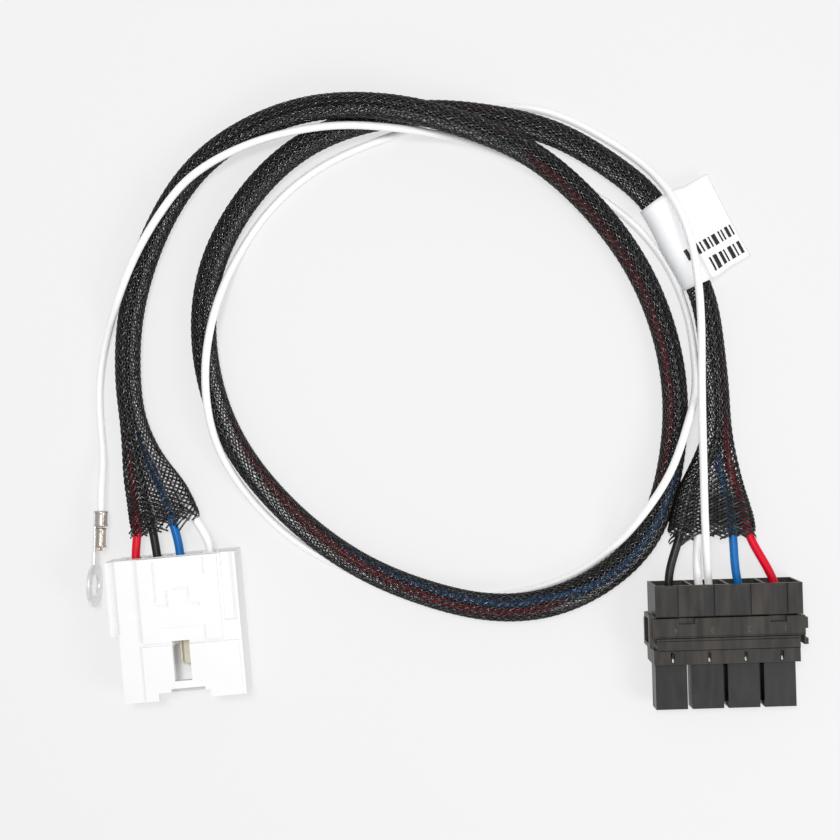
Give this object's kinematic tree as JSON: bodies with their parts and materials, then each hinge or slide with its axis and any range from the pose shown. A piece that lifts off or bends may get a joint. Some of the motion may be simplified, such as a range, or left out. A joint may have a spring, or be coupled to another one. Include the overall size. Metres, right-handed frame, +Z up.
{
  "type": "trailer brake controller wiring harness",
  "caption": "Plug-in wiring harness for a trailer brake controller: braided loom between a black receptacle and a white blade connector, with a ground lead and ring terminal.",
  "frame": {"origin": "bottom centre of the box around the two connectors, on the table", "axes": "+X along the row from the white connector to the black one, +Y from the connectors' mating ends towards the loop of the loom, +Z up from the table"},
  "size_m": [0.1979, 0.1698, 0.0174],
  "materials": {
    "black_plastic": "moulded nylon, dark grey-brown, satin",
    "white_plastic": "moulded nylon, white, satin",
    "terminal_metal": "tinned brass stamping",
    "tin_plate": "tin-plated copper stamping",
    "copper": "bare stranded copper",
    "braid": "black polyester monofilament braid, open weave",
    "red_insulation": "red PVC insulation",
    "black_insulation": "black PVC insulation",
    "blue_insulation": "blue PVC insulation",
    "white_insulation": "white PVC insulation",
    "label_film": "white glossy label film"
  },
  "bodies": {
    "loom": {"black_housing": "black_plastic", "black_terminal_1": "terminal_metal", "black_terminal_2": "terminal_metal", "black_terminal_3": "terminal_metal", "black_terminal_4": "terminal_metal", "white_housing": "white_plastic", "white_blade_1": "terminal_metal", "white_blade_2": "terminal_metal", "white_blade_3": "terminal_metal", "white_blade_4": "terminal_metal", "ring_terminal": "tin_plate", "copper_strands": "copper", "braided_sleeve": "braid", "wire_red": "red_insulation", "wire_black": "black_insulation", "wire_white": "white_insulation", "wire_blue": "blue_insulation", "ground_wire": "white_insulation", "label_flag": "label_film"},
    "black_retainer": {"black_retainer": "black_plastic"},
    "black_latch": {"black_latch": "black_plastic"},
    "white_retainer": {"white_retainer": "white_plastic"}
  },
  "joints": [
    {"name": "black_retainer_slide", "type": "slide", "parent": "loom", "child": "black_retainer", "axis": [0, 0, 1], "range_m": [0, 0.002]},
    {"name": "black_latch_hinge", "type": "hinge", "parent": "loom", "child": "black_latch", "pos_m": [0.07493, 0.00005, 0.0016], "axis": [0.9996, 0.0297, 0], "range_deg": [0, 3.5], "stiffness_Nm_per_rad": 0.02},
    {"name": "white_retainer_slide", "type": "slide", "parent": "loom", "child": "white_retainer", "axis": [0, 0, 1], "range_m": [0, 0.0015]}
  ]
}
